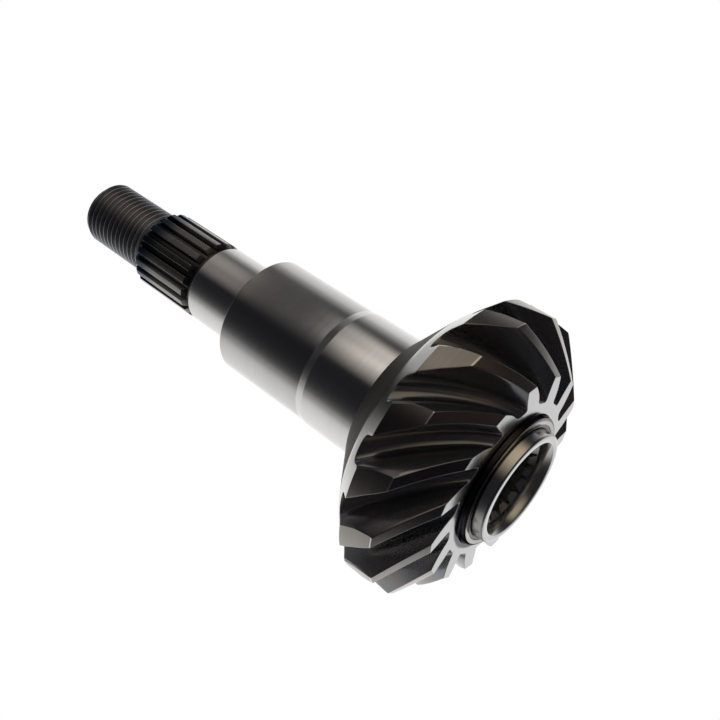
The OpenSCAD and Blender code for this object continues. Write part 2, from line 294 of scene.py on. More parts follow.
class ToothForm:
    """Where a tooth's points lie: a runs along the pitch cone, h is the height over it."""

    # Steps of the net along and across a tooth, and the turns of the points on its fillet
    FACE_ROWS, RIM_ROWS, LAND, FLANK, FLAT = 26, 14, 12, 8, 2
    FILLET = [math.radians(x) for x in (0, 28, 46, 61, 75.5, 90)]
    SIDE = len(FILLET) - 1 + FLANK
    LEAST_FILLET, MOST_BEND = 0.2, 0.6

    def __init__(self, g):
        self.g = g
        self.sin, self.cos = math.sin(g.pitch_angle), math.cos(g.pitch_angle)
        self.pitch = FULL / g.teeth
        self.face_z = g.toe_z + (g.outer_r - g.toe_r) / math.tan(g.face_angle)
        self.heel_z = self.face_z + g.rim
        self.apex_z = self.face_z - (g.outer_r * self.cos - g.addendum) / self.sin
        self.toe_a = self.cone(g.toe_r, g.toe_z)[0]
        self.heel_a = self.cone(g.outer_r, self.heel_z)[0]
        self.corner_a = self.cone(g.outer_r, self.face_z)[0]
        mean_a = (self.toe_a + self.heel_a) / 2
        self.tilt = math.tan(g.pitch_angle - g.root_angle)
        self.corner_root = g.addendum - g.depth / math.cos(g.pitch_angle - g.root_angle)
        self.centre_a = math.sqrt(
            mean_a**2 + g.cutter_r**2 - 2 * mean_a * g.cutter_r * math.sin(g.spiral)
        )
        self.mean_turn = self.cutter_turn(mean_a)
        # Ends of the slot's bottom, on the toe face and on the back cone
        deep = self.corner_root + self.corner_a * self.tilt
        step_r, step_z = self.sin - self.tilt * self.cos, self.cos + self.tilt * self.sin
        back = math.tan(g.back_angle)
        toe = (g.toe_z - self.apex_z + deep * self.sin) / step_z
        heel = (
            g.outer_r + back * (self.heel_z - self.apex_z + deep * self.sin) - deep * self.cos
        ) / (step_r + back * step_z)
        self.bottom = [self.profile(a, self.root_h(a)) for a in (toe, heel)]

    def cone(self, r, z):
        """The place (a, h) of a point (radius, height)."""
        z -= self.apex_z
        return r * self.sin + z * self.cos, r * self.cos - z * self.sin

    def profile(self, a, h):
        """The point (radius, height) of a place (a, h)."""
        return a * self.sin + h * self.cos, self.apex_z + a * self.cos - h * self.sin

    def root_h(self, a):
        return self.corner_root - (a - self.corner_a) * self.tilt

    def cutter_turn(self, a):
        """Angle on the unrolled pitch cone where the ring of blades crosses this place."""
        return math.acos((a**2 + self.centre_a**2 - self.g.cutter_r**2) / (2 * a * self.centre_a))

    def slope(self, a):
        """Spiral angle at this place."""
        g = self.g
        return math.asin((a**2 + g.cutter_r**2 - self.centre_a**2) / (2 * a * g.cutter_r))

    def slot_half(self, a, h):
        """Half the angle that a slot takes, widened upward by its involute flanks."""
        g = self.g
        pitch_r = a * math.tan(g.pitch_angle)
        roll = math.acos(min(1, pitch_r * math.cos(g.pressure) / (pitch_r + h)))
        involute = math.tan(g.pressure) - g.pressure - math.tan(roll) + roll
        half = (g.tooth_share * math.pi * self.cos / g.teeth + involute) / self.cos
        return self.pitch / 2 - half

    def fillet(self, a):
        """Radius of the fillets beside the slot's flat bottom."""
        h = self.root_h(a)
        width = 2 * self.slot_half(a, h) * self.profile(a, h)[0]
        return max(self.LEAST_FILLET, (width * math.cos(self.slope(a)) - self.g.flat) / 2)

    def slot_turn(self, a, h, side):
        """Angle of the slot's side at this point, side being -1, 0 for its middle, or 1."""
        g = self.g
        along = max(0, (a - self.toe_a) / (self.heel_a - self.toe_a))
        lean = -g.lean * along * max(0, h / self.root_h(a))
        bend = self.fillet(a)
        lift = min(1, max(0, h - self.root_h(a)) / bend)
        fill = bend * (1 - math.sin(math.acos(1 - lift))) / math.cos(self.slope(a))
        half = self.slot_half(a, h) - fill / self.profile(a, h)[0]
        spiral = (self.cutter_turn(a) - self.mean_turn) / self.sin
        return g.phase + spiral + lean + side * half

    def dressed(self, row):
        return self.g.dressed * max(0, row - self.FACE_ROWS) / self.RIM_ROWS

    def top(self, row, side):
        """Radius and height of the flank's top edge, lowered where the edge is dressed."""
        g = self.g
        if row <= self.FACE_ROWS:
            u = row / self.FACE_ROWS
            return g.toe_r + (g.outer_r - g.toe_r) * u, g.toe_z + (self.face_z - g.toe_z) * u
        u = (row - self.FACE_ROWS) / self.RIM_ROWS
        cut = self.dressed(row) if side < 0 else 0
        return g.outer_r - cut, self.face_z + g.rim * u + u * cut / math.tan(g.back_angle)

    def side(self, row, side, step):
        """Point of the flank, from the slot's bottom corner (0) to the top edge."""
        rim_l = self.g.rim
        face_l = math.hypot(self.g.outer_r - self.g.toe_r, self.face_z - self.g.toe_z)
        u = min(row, self.FACE_ROWS) / self.FACE_ROWS * face_l
        u = (u + max(0, row - self.FACE_ROWS) / self.RIM_ROWS * rim_l) / (face_l + rim_l)
        foot = Vector(self.bottom[0]).lerp(Vector(self.bottom[1]), u)
        top = Vector(self.top(row, side))
        a, h = self.cone(*top)
        height = h - self.root_h(a)
        bend = min(self.MOST_BEND, self.fillet(self.cone(*foot)[0]) / height)
        last = len(self.FILLET) - 1
        if step <= last:
            t = bend * (1 - math.cos(self.FILLET[step]))
        else:
            t = bend + (1 - bend) * (step - last) / self.FLANK
        r, z = foot.lerp(top, t)
        a, h = self.cone(r, z)
        return r, z, self.slot_turn(a, h, side) + (self.pitch if side < 0 else 0)

    def flat_spot(self, row, side, part):
        """Point of the slot's flat bottom: part runs from its middle (0) to its corner (1)."""
        r, z, turn = self.side(row, side, 0)
        a, h = self.cone(r, z)
        middle = self.slot_turn(a, h, 0) + (self.pitch if side < 0 else 0)
        return r, z, middle + (turn - middle) * part

    def land(self, row, part):
        """Point of the tooth's top, from one flank (0) to where the other's dressing starts."""
        r, z = self.top(row, 1)
        first = self.side(row, 1, self.SIDE)[2]
        a, h = self.cone(r, z)
        last = self.slot_turn(a, h, -1) + self.pitch - self.dressed(row) / r
        return r, z, first + (last - first) * part

    def across(self, row):
        """The row's points from the middle of one slot to the middle of the next."""
        spots = [self.flat_spot(row, 1, k / self.FLAT) for k in range(self.FLAT)]
        spots += [self.side(row, 1, k) for k in range(self.SIDE + 1)]
        spots += [self.land(row, k / self.LAND) for k in range(1, self.LAND + 1)]
        spots += [self.side(row, -1, k) for k in range(self.SIDE, -1, -1)]
        return spots + [
            self.flat_spot(row, -1, k / self.FLAT) for k in range(self.FLAT - 1, -1, -1)
        ]


def snap(turn, start):
    """The nearest of the skin's columns to this angle."""
    return start + round((turn - start) / COLUMN) * COLUMN


def make_teeth(g, neck, start):
    """The ring of teeth between the neck and the edge of the back cone."""
    bm = bmesh.new()
    form = ToothForm(g)
    rows = form.FACE_ROWS + form.RIM_ROWS
    net = [form.across(row) for row in range(rows + 1)]
    sheet(bm, len(net[0]) - 1, rows, lambda i, j: polar(*net[j][i]))
    # Heel end of the tooth, on the back cone, and the ring below the slots
    heel = [[form.land(rows, k / form.LAND) for k in range(form.LAND + 1)]]
    for step in range(form.SIDE - 1, -1, -1):
        one, other = form.side(rows, 1, step), form.side(rows, -1, step)
        heel.append([
            tuple(p + (q - p) * k / form.LAND for p, q in zip(one, other))
            for k in range(form.LAND + 1)
        ])
    sheet(bm, form.LAND, form.SIDE, lambda i, j: polar(*heel[j][i]))
    foot = net[rows][: form.FLAT] + heel[-1] + net[rows][-form.FLAT:]
    back_z = form.heel_z + (g.outer_r - g.back_edge_r) / math.tan(g.back_angle)
    first = snap(foot[0][2], start)
    rim = [(g.back_edge_r, back_z, first + COLUMN * k) for k in range(len(foot))]
    ring = [foot, [tuple((p + q) / 2 for p, q in zip(*pair)) for pair in zip(foot, rim)], rim]
    sheet(bm, len(foot) - 1, 2, lambda i, j: polar(*ring[j][i]))
    weld(bm)
    # Toe end, a flat face between the neck and the tooth's outline
    columns = ROUND_STEPS // g.teeth
    toe = snap(net[0][0][2], start)
    inner = [polar(*neck, toe + COLUMN * k) for k in range(columns + 1)]
    line(bm, [polar(*net[0][0])] + inner + [polar(*net[0][-1])])
    weld(bm)
    bmesh.ops.edgeloop_fill(bm, edges=open_edges(bm, g.toe_z))
    round_copies(bm, g.teeth)
    bmesh.ops.holes_fill(bm, edges=bm.edges[:], sides=3)
    return bm, form, back_z


# Splines, thread and turned parts


def groove_spot(i, half_pitch, mouth, bottom, half, slope, edge_r):
    """Point i across a groove, from tooth middle to tooth middle, cut off at edge_r."""
    gap = 0.02
    middle = GROOVE_STEPS // 2
    # Steps from the groove's middle where its flank and the tooth's top start
    flank, land = 2, 4
    k = math.copysign(math.tan(slope), mouth - bottom)
    y0 = half - mouth * k
    low = bottom * k + y0
    corner_r = math.hypot(bottom, low)
    outer = mouth > bottom
    r = max(edge_r, corner_r + gap) if outer else min(edge_r, bottom - gap)
    x = (math.sqrt((y0 * k) ** 2 - (1 + k * k) * (y0**2 - r**2)) - y0 * k) / (1 + k * k)
    top = Vector((x, x * k + y0))
    away = abs(i - middle)
    if away >= land:
        turn = math.atan2(top.y, top.x)
        turn += (half_pitch - turn) * (away - land) / (middle - land)
        spot = Vector((r * math.cos(turn), r * math.sin(turn)))
    elif away >= flank:
        spot = Vector((bottom, low)).lerp(top, (away - flank) / (land - flank))
    else:
        spot = Vector((bottom, low * away / flank))
    reach = min(spot.length, edge_r) if outer else max(spot.length, edge_r)
    turn = math.atan2(spot.y, spot.x) * (1 if i > middle else -1)
    return reach, turn


def make_spline(s):
    """The outer spline, from the journal's shoulder to its end face."""
    bm = bmesh.new()
    relief_l, bevel, mouth_share = 1.4, 0.7, 0.52
    run_in, long_rows, run_out = (0, 0.08, 0.16, 0.3, 0.5, 0.75, 1), 12, (0.33, 0.66, 1)
    slope, phase = math.radians(25), math.radians(11.2)
    half_pitch = math.pi / s.spline_teeth
    half = s.spline_r * math.sin(half_pitch * mouth_share)
    bottom = s.spline_r - s.groove
    relief_z = s.journal_z + relief_l
    rise = s.spline_r - s.relief_r
    full, end = relief_z + rise, s.spline_z - bevel
    rows = [(s.journal_z, s.relief_r)]
    rows += [(relief_z + rise * k, s.relief_r + rise * k) for k in run_in]
    rows += [(full + (end - full) * (k + 1) / long_rows, s.spline_r) for k in range(long_rows)]
    rows += [(end + bevel * k, s.spline_r - bevel * k) for k in run_out]

    def place(i, j):
        z, edge_r = rows[j]
        r, turn = groove_spot(i, half_pitch, s.spline_r, bottom, half, slope, edge_r)
        return polar(r, z, phase + turn)

    sheet(bm, GROOVE_STEPS, len(rows) - 1, place)
    round_copies(bm, s.spline_teeth)
    return bm


def make_bore(s, toe_z, start):
    """The bore, and the boss and neck round it up to the toe face."""
    bm = bmesh.new()
    mouth_share, slope, point_angle = 0.5, math.radians(25), math.radians(59)
    shoulder_w, shoulder_l = 0.7, 0.25
    run_in, row_heights = (0.05, 0.12, 0.3, 0.5, 0.75, 1), (8, 13, 18)
    half_pitch = math.pi / s.bore_teeth
    half = s.bore_r * math.sin(half_pitch * mouth_share)
    bottom = s.bore_r + s.bore_groove
    step_r, relief_r = bottom + 0.05, bottom + 0.2
    rise = step_r - s.bore_r
    rows = [(s.bevel_start, step_r, True)]
    rows += [(s.bevel_start + rise * k, step_r - rise * k, False) for k in run_in]
    rows += [(z, s.bore_r, False) for z in (*row_heights, s.bore_spline_z)]
    rows.append((s.bore_spline_z, relief_r, True))

    def place(i, j):
        z, edge_r, circle = rows[j]
        if circle:
            r, turn = edge_r, half_pitch * (2 * i / GROOVE_STEPS - 1)
        else:
            r, turn = groove_spot(i, half_pitch, s.bore_r, bottom, half, slope, edge_r)
        return polar(r, z, start + half_pitch + turn)

    sheet(bm, GROOVE_STEPS, len(rows) - 1, place)
    round_copies(bm, s.bore_teeth)
    turned(bm, [
        (relief_r, s.bore_spline_z), (relief_r, s.bore_relief_z), (s.bore_r, s.bore_relief_z),
        (s.bore_r, s.bore_z), (0, s.bore_z + s.bore_r / math.tan(point_angle)),
    ], start)
    shoulder_r, shoulder_z = s.boss_r + shoulder_w, s.boss_l + shoulder_l
    turned(bm, [
        (step_r, s.bevel_start), (step_r, s.mouth_l), (s.mouth_r, 0),
        *arc(s.boss_r - s.boss_taper - s.boss_round, s.boss_round, s.boss_round, -90, 0),
        (s.boss_r, shoulder_z), (shoulder_r, shoulder_z), (shoulder_r, s.boss_l),
        *arc(s.neck_r - s.neck_round, s.boss_l + s.neck_round, s.neck_round, -90, 0),
        *arc(s.neck_r + s.neck_fillet, toe_z - s.neck_fillet, s.neck_fillet, 180, 90),
    ], start)
    weld(bm)
    return bm


def make_thread(s):
    """The threaded end: a screw surface cut off at the spline and at the tip, and its centre hole."""
    bm = bmesh.new()
    steps, chamfer, p = 96, 0.9, s.pitch
    hole_r, hole_mouth_r, hole_l, hole_angle = 2, 3.5, 9, math.radians(30)
    turns = math.ceil((LENGTH - s.spline_z) / p) + 3
    z = s.spline_z - 1.5 * p
    # The tooth's outline: places along the pitch, and depths below the crest as shares
    tooth = [
        (0, 0.03), (0.04, 0), (0.1, 0), (0.14, 0.03), (0.44, 0.94), (0.5, 1), (0.62, 1),
        (0.68, 0.94), (1, 0.03),
    ]
    geom = line(bm, [polar(s.thread_r - s.thread_depth * d, z + p * k, 0) for k, d in tooth])
    spin(bm, geom, FULL, steps, rise=p / steps)
    one_turn = everything(bm)
    for turn in range(1, turns):
        copy = bmesh.ops.duplicate(bm, geom=one_turn)["geom"]
        verts = [x for x in copy if isinstance(x, bmesh.types.BMVert)]
        bmesh.ops.translate(bm, verts=verts, vec=(0, 0, p * turn))
    weld(bm)
    for vert in bm.verts:
        r = math.hypot(vert.co.x, vert.co.y)
        limit = s.thread_r - max(0, vert.co.z - (LENGTH - chamfer))
        if r > limit:
            vert.co.x *= limit / r
            vert.co.y *= limit / r
    for height, flip in ((s.spline_z, -1), (LENGTH, 1)):
        bmesh.ops.bisect_plane(
            bm, geom=everything(bm), dist=1e-5, plane_co=(0, 0, height), plane_no=(0, 0, flip),
            clear_outer=True,
        )
    cone_l = (hole_mouth_r - hole_r) / math.tan(hole_angle)
    turned(bm, [
        (hole_mouth_r, LENGTH), (hole_r, LENGTH - cone_l), (hole_r, LENGTH - hole_l),
        (0, LENGTH - hole_l),
    ], 0)
    weld(bm)
    return bm


def break_edges(bm, g, s, form):
    """Rounds the crisp edges that show, and marks the others as sharp."""
    # Faces of the dressed edges, which lean between the rim and the back cone
    rim_r, least_lean, most_lean = g.outer_r - g.dressed * 1.1, 0.35, 0.95
    for face in bm.faces:
        c, r, out = lie_of(face)
        on_rim = r > rim_r and form.face_z < c.z < form.heel_z + g.dressed
        face.tag = on_rim and least_lean < out < most_lean
    # In the bore, nothing behind its mouth is rounded. Beyond the journal, only the outer spline's
    # long corners are.
    bore_r, bore_z = s.mouth_r + 1, s.mouth_l - 0.2
    spline_r, spline_z, far_z = s.spline_r - 0.1, s.spline_z - 0.7, s.journal_z - 0.1
    upright_share = 0.9
    rounded = []
    for edge in bm.edges:
        if len(edge.link_faces) != 2 or edge.calc_face_angle() <= CRISP:
            continue
        one, other = (v.co for v in edge.verts)
        z, r = (one.z + other.z) / 2, math.hypot((one.x + other.x) / 2, (one.y + other.y) / 2)
        upright = abs(one.z - other.z) > upright_share * edge.calc_length()
        dressed = any(face.tag for face in edge.link_faces)
        in_bore = r < bore_r and bore_z < z < s.thrust_z
        spline_corner = r > spline_r and upright and z < spline_z
        if dressed or in_bore or (z > far_z and not spline_corner):
            edge.smooth = False
        else:
            rounded.append(edge)
    bmesh.ops.bevel(
        bm, geom=rounded, offset=g.edge, offset_type="OFFSET", segments=2, profile=0.5,
        affect="EDGES", clamp_overlap=False, loop_slide=True, material=-1,
    )


def finish_of(face, g, s, form):
    """Name of the finish that the face has in the shaft, from where it lies."""
    slack, broken, bore_slack, toe_slack = 0.01, 0.05, 0.03, 0.02
    flat, backward, facing, heel_depth = 0.9, 0.95, 0.96, 1.2
    seat_start, barrel_start = s.thrust_z + 0.15, s.seat_z + 0.1
    c, r, out = lie_of(face)
    down = -face.normal.z
    if c.z > s.spline_z - slack:
        return "thread"
    if c.z > s.journal_z - slack:
        return "spline"
    if c.z > seat_start:
        return "barrel" if barrel_start < c.z < s.barrel_z - slack else "ground"
    if r < s.mouth_r + bore_slack:
        return "bore"
    if c.z < g.toe_z - slack and r < s.neck_r + s.neck_fillet:
        if r < s.boss_r + slack:
            return "toe" if down > flat else "boss"
        return "neck" if c.z > s.boss_l + slack else "turned"
    if c.z < g.toe_z + toe_slack and down > flat:
        return "toe"
    facing_back = out * math.cos(g.back_angle) - down * math.sin(g.back_angle)
    if r > g.back_edge_r - broken and c.z > form.heel_z - broken and facing_back > backward:
        return "back"
    if c.z > form.heel_z and r < g.back_edge_r + broken:
        return "collar"
    if out > facing and r > g.outer_r - heel_depth:
        return "heel"
    facing_front = out * math.cos(g.face_angle) + down * math.sin(g.face_angle)
    return "teeth" if facing_front > facing else "flank"


def make_skin():
    """The whole shaft as one closed mesh, in millimetres."""
    g, s = numbers(bpy.context.scene.gear_sizes), numbers(bpy.context.scene.shaft_sizes)
    start = math.radians(-5)
    bm, form, back_z = make_teeth(g, (s.neck_r + s.neck_fillet, g.toe_z), start)
    for other in (make_bore(s, g.toe_z, start), make_spline(s), make_thread(s)):
        add_mesh(bm, other)
    collar, chamfer, journal, taper_l = 0.25, 0.4, 0.2, 2
    # Rows just inside the taper's ends keep its shading flat
    inside_r, inside_l, after_l = 0.013, 0.2, 0.1
    turned(bm, [
        (g.back_edge_r, back_z), (s.collar_r, s.thrust_z - collar), (s.collar_r - collar, s.thrust_z),
        (s.seat_r, s.thrust_z), (s.seat_r, s.seat_z - taper_l),
        (s.seat_r - inside_r, s.seat_z - taper_l + inside_l),
        (s.barrel_r + inside_r, s.seat_z - after_l), (s.barrel_r, s.seat_z + after_l),
        (s.barrel_r, s.barrel_z - chamfer), (s.barrel_r - chamfer, s.barrel_z),
        (s.journal_r, s.barrel_z), (s.journal_r, s.journal_z - journal),
        (s.journal_r - journal, s.journal_z),
    ], start)
    weld(bm)
    # The flat rings beside the journal and the spline, and at the tip
    for height in (s.journal_z, s.spline_z, LENGTH):
        edges = open_edges(bm, height)
        bmesh.ops.triangle_fill(bm, use_beauty=True, edges=edges, normal=(0, 0, 1))
    weld(bm)
    bmesh.ops.recalc_face_normals(bm, faces=bm.faces[:])
    break_edges(bm, g, s, form)
    if any(not edge.is_manifold for edge in bm.edges):
        raise RuntimeError("the shaft's skin isn't closed")
    for face in bm.faces:
        face.smooth = True
        face.material_index = FINISHES.index(finish_of(face, g, s, form))
    bmesh.ops.scale(bm, verts=bm.verts[:], vec=(MM, MM, MM))
    return bm


# Shader helpers


def add(tree, kind, inputs=None, **settings):
    """A shader node with its settings, and with its inputs linked or set."""
    node = tree.nodes.new("ShaderNode" + kind)
    for name, value in settings.items():
        setattr(node, name, value)
    feed(tree, node, inputs or {})
    return node


def feed(tree, node, inputs):
    """Links each input to the socket given for it, or sets it to the value."""
    for name, value in inputs.items():
        if isinstance(value, bpy.types.NodeSocket):
            tree.links.new(value, node.inputs[name])
        else:
            node.inputs[name].default_value = value


def calc(tree, operation, *values, clamp=False):
    inputs = dict(enumerate(values))
    return add(tree, "Math", inputs, operation=operation, use_clamp=clamp).outputs[0]


def blend(tree, amount, one, other, mode="MIX"):
    inputs = {0: amount, 6: one, 7: other}
    return add(tree, "Mix", inputs, data_type="RGBA", blend_type=mode).outputs[2]


def ramp(tree, value, low, high, to_low=0.0, to_high=1.0, smooth=True):
    inputs = dict(enumerate((value, low, high, to_low, to_high)))
    kind = "SMOOTHSTEP" if smooth else "LINEAR"
    return add(tree, "MapRange", inputs, interpolation_type=kind).outputs[0]


def noise(tree, vector, scale, detail):
    inputs = {"Vector": vector, "Scale": scale, "Detail": detail}
    return add(tree, "TexNoise", inputs).outputs[0]


def shaded(tree, system="Object"):
    """The spot that is being shaded, and its place along each axis."""
    spot = add(tree, "TexCoord").outputs[system]
    return spot, add(tree, "SeparateXYZ", {0: spot}).outputs


def distance(tree, x, y):
    flat = add(tree, "CombineXYZ", {"X": x, "Y": y}).outputs[0]
    return add(tree, "VectorMath", {0: flat}, operation="LENGTH").outputs["Value"]


def grey(level):
    return (level, level, level, 1.0)


def rgba(colour):
    return (*colour, 1.0)


def group(name, inputs, outputs):
    """An empty node group with these sockets for numbers, and its two end nodes."""
    tree = bpy.data.node_groups.new(name, "ShaderNodeTree")
    for end, labels in (("INPUT", inputs), ("OUTPUT", outputs)):
        for label in labels:
            tree.interface.new_socket(label, in_out=end, socket_type="NodeSocketFloat")
    return tree, tree.nodes.new("NodeGroupInput").outputs, tree.nodes.new("NodeGroupOutput")


def lathe_marks_group():
    """Fine rings that turning or grinding leaves round the axis, and slower bands among them."""
    tree, given, end = group("lathe_marks", ("Spacing", "Band"), ("Height", "Bands", "Grain"))
    per_height, per_turn, grain_scale = 1.37, 30.0, 9000.0
    spot, axes = shaded(tree)
    radius = distance(tree, axes[0], axes[1])
    run = calc(tree, "ADD", radius, calc(tree, "MULTIPLY", axes[2], per_height))
    drift = [calc(tree, "MULTIPLY", axes[k], per_turn) for k in (0, 1)]
    for spacing, output, detail in (("Spacing", "Height", 3.0), ("Band", "Bands", 1.0)):
        inputs = {"X": calc(tree, "DIVIDE", run, given[spacing]), "Y": drift[0], "Z": drift[1]}
        vector = add(tree, "CombineXYZ", inputs).outputs[0]
        feed(tree, end, {output: noise(tree, vector, 1.0, detail)})
    feed(tree, end, {"Grain": noise(tree, spot, grain_scale, 1.0)})


def stains_group():
    """Soft cloudy stains, from 0 to 1."""
    detail, span = 3.0, (0.35, 0.65)
    tree, given, end = group("stains", ("Scale",), ("Cloud",))
    cloud = noise(tree, shaded(tree)[0], given["Scale"], detail)
    feed(tree, end, {"Cloud": ramp(tree, cloud, *span)})


def spot_height(tree):
    """Height over the boss's face, in millimetres."""
    return calc(tree, "DIVIDE", shaded(tree)[1][2], MM)


def spot_radius(tree, shift=0.0):
    """Distance from the axis, or from a line shifted along X, in millimetres."""
    axes = shaded(tree)[1]
    beside = calc(tree, "SUBTRACT", axes[0], shift * MM)
    return calc(tree, "DIVIDE", distance(tree, beside, axes[1]), MM)


def steel(name, colour, rough, relief, spacing, dirt, rim=1.0, metal=1.0, tune=None):
    """A metal finish.

    rough is its lowest and highest roughness, relief and spacing are those of the lathe's rings in
    millimetres, dirt is the share that stains take away, rim is the tint at grazing angles, metal is
    the metallic share, and tune changes the base colour.
    """
    rings_per_band, stain_scale, grain_share, ring_span = 18, 110.0, 0.6, (0.3, 0.7)
    material = bpy.data.materials.new(name)
    material.use_nodes = True
    tree = material.node_tree
    marks, stains = bpy.data.node_groups["lathe_marks"], bpy.data.node_groups["stains"]
    inputs = {"Spacing": spacing * MM, "Band": spacing * rings_per_band * MM}
    rings = add(tree, "Group", inputs, node_tree=marks).outputs
    cloud = add(tree, "Group", {"Scale": stain_scale}, node_tree=stains).outputs[0]
    dark = rgba(c * (1 - dirt) for c in colour)
    base = blend(tree, rings["Bands"], rgba(colour), dark)
    base = blend(tree, calc(tree, "MULTIPLY", cloud, dirt), base, dark)
    if tune:
        base = tune(tree, base, rings["Bands"], cloud)
    gloss = ramp(tree, rings["Height"], *ring_span, *rough, smooth=False)
    grain = calc(tree, "MULTIPLY", rings["Grain"], grain_share)
    lift = calc(tree, "ADD", rings["Height"], grain)
    bump = add(tree, "Bump", {"Height": lift, "Strength": 1.0, "Distance": relief * MM})
    feed(tree, tree.nodes["Principled BSDF"], {
        "Base Color": base, "Metallic": metal, "Specular Tint": grey(rim), "Roughness": gloss,
        "Normal": bump.outputs[0],
    })
    return material


def make_finishes():
    """The shaft's materials, in the order of FINISHES."""
    scene = bpy.context.scene
    c, g, s = numbers(scene.finish_colours), numbers(scene.gear_sizes), numbers(scene.shaft_sizes)
    corner_z = ToothForm(g).face_z
    lathe_marks_group()
    stains_group()

    # Each of these changes the base colour of one finish, at heights and radii in millimetres

    def painted_boss_shade(tree, base, bands, cloud):
        """The boss's wall, with painted shade at its foot by the shoulder and on its side away from
        +X.
        """
        foot, foot_shade_tone = (s.boss_l - 0.45, s.boss_l), 0.15
        side, side_shade_tone, shift = (s.boss_r + 1.6, s.boss_r + 2.4), 0.45, 3.0
        # Painted shade at the boss's foot, in the groove by the shoulder, and on its side away from
        # +X
        groove = ramp(tree, spot_height(tree), *foot, 1.0, foot_shade_tone)
        side_shade = ramp(tree, spot_radius(tree, shift), *side, 1.0, side_shade_tone)
        return blend(tree, 1.0, base, calc(tree, "MULTIPLY", groove, side_shade), "MULTIPLY")

    def unshaded_shoulder(tree, base, bands, cloud):
        """The neck's near-black colour is painted shade; its shoulder round the boss keeps the turned
        steel's colour.
        """
        edge, shift = (s.neck_r - 0.5, s.neck_r - 0.35), 0.3
        unshaded = ramp(tree, spot_radius(tree, shift), *edge, 1.0, 0.0)
        return blend(tree, unshaded, base, rgba(c.turned))

    def painted_neck_shade(tree, base, bands, cloud):
        """The toe face, with painted shade where it meets the neck."""
        edge, shift, wobble = (s.neck_r + 0.4, s.neck_r + 1.2), -0.75, 0.2
        boss_end = (g.toe_z - 0.45, g.toe_z - 0.35)
        away = calc(tree, "ADD", spot_radius(tree, shift), calc(tree, "MULTIPLY", cloud, wobble))
        unshaded = ramp(tree, away, *edge)
        unshaded = calc(tree, "MAXIMUM", unshaded, ramp(tree, spot_height(tree), *boss_end, 1.0, 0.0))
        return blend(tree, unshaded, rgba(c.neck), base)

    def painted_heel_highlight(tree, base, bands, cloud):
        """The heel's corner with the tooth top, with a painted highlight."""
        edge, wear_and_highlight, wobble = (corner_z + 0.3, corner_z + 0.5), 0.8, 0.15
        height = calc(tree, "ADD", spot_height(tree), calc(tree, "MULTIPLY", cloud, wobble))
        # A painted highlight: the heel's corner is lightened towards the boss's colour
        return blend(tree, ramp(tree, height, *edge, wear_and_highlight, 0.0), base, rgba(c.boss))

    def tooth_tints(tree, base, bands, cloud):
        """A faint tint on the flanks, blue in places and bronze in others."""
        blue, bronze, strength = (0.13, 0.18, 0.24), (0.22, 0.20, 0.195), 0.4
        return blend(tree, strength, base, blend(tree, cloud, rgba(bronze), rgba(blue)))

    def heated(tree, base, bands, cloud):
        """The outer spline, tinted by heat towards the thread, with painted shade darkening its
        grooves.
        """
        fade, wobble = (s.spline_z - 8.2, s.spline_z - 2.2), 1.2
        depth, groove_tone = (s.spline_r - 1.0, s.spline_r - 0.15), 0.45
        drift = calc(tree, "MULTIPLY", calc(tree, "SUBTRACT", cloud, 0.5), wobble)
        height = calc(tree, "ADD", spot_height(tree), drift)
        base = blend(tree, ramp(tree, height, *fade), base, rgba(c.blue))
        # Painted shade, darker towards the grooves' bottoms
        groove = ramp(tree, spot_radius(tree), *depth, groove_tone, 1.0)
        return blend(tree, 1.0, base, groove, "MULTIPLY")

    def worn_crests(tree, base, bands, cloud):
        """The thread, paler on its crests and darker in its grooves."""
        worn, groove_tone, wear_and_highlight, patches = (0.45, 0.45, 0.46), 0.6, 0.5, (0.3, 0.6, 0.5, 1.0)
        top, depth = (s.thread_r - 0.25, s.thread_r), (s.thread_r - 0.8, s.thread_r - 0.2)
        groove = ramp(tree, spot_radius(tree), *depth, groove_tone, 1.0)
        base = blend(tree, 1.0, base, groove, "MULTIPLY")
        crest = ramp(tree, spot_radius(tree), *top, 0.0, wear_and_highlight)
        crest = calc(tree, "MULTIPLY", crest, ramp(tree, bands, *patches))
        return blend(tree, crest, base, rgba(worn))

    return [
        steel("ground_steel", c.ground, (0.09, 0.13), 0.0003, 0.06, 0.08),
        steel("barrel_steel", c.barrel, (0.09, 0.13), 0.0003, 0.06, 0.08),
        steel("turned_steel", c.turned, (0.12, 0.18), 0.0004, 0.12, 0.12),
        # The boss's wall carries painted shade at its foot and on its side away from +X
        steel("boss_steel", c.boss, (0.13, 0.18), 0.0005, 0.12, 0.2, rim=0.5, tune=painted_boss_shade),
        # The neck's near-black colour is painted shade; only its shoulder round the boss keeps the
        # turned steel's colour
        steel("neck_painted_shade_steel", c.neck, (0.2, 0.28), 0.0005, 0.15, 0.2, rim=0.3, tune=unshaded_shoulder),
        steel("tooth_top_steel", c.teeth, (0.16, 0.24), 0.0004, 0.2, 0.2),
        # The heel's faces carry a painted highlight at their corner with the tooth tops
        steel("heel_steel", c.heel, (0.18, 0.26), 0.0004, 0.2, 0.2, tune=painted_heel_highlight),
        steel("flank_steel", c.flank, (0.18, 0.26), 0.0004, 0.2, 0.2, metal=0.96, tune=tooth_tints),
        # The toe face carries painted shade where it meets the neck
        steel("toe_face_steel", c.toe, (0.14, 0.2), 0.0004, 0.1, 0.08, tune=painted_neck_shade),
        steel("back_cone_steel", c.back, (0.18, 0.24), 0.0004, 0.1, 0.1),
        steel("collar_steel", c.collar, (0.42, 0.5), 0.0006, 0.15, 0.2, rim=0.5),
        steel("spline_steel", c.spline, (0.18, 0.26), 0.0005, 0.2, 0.2, tune=heated),
        steel("oxide_thread", c.oxide, (0.3, 0.38), 0.0005, 0.2, 0.2, tune=worn_crests),
        steel("bore_steel", c.bore, (0.16, 0.22), 0.0005, 0.1, 0.2, metal=0.97),
    ]


# The studio

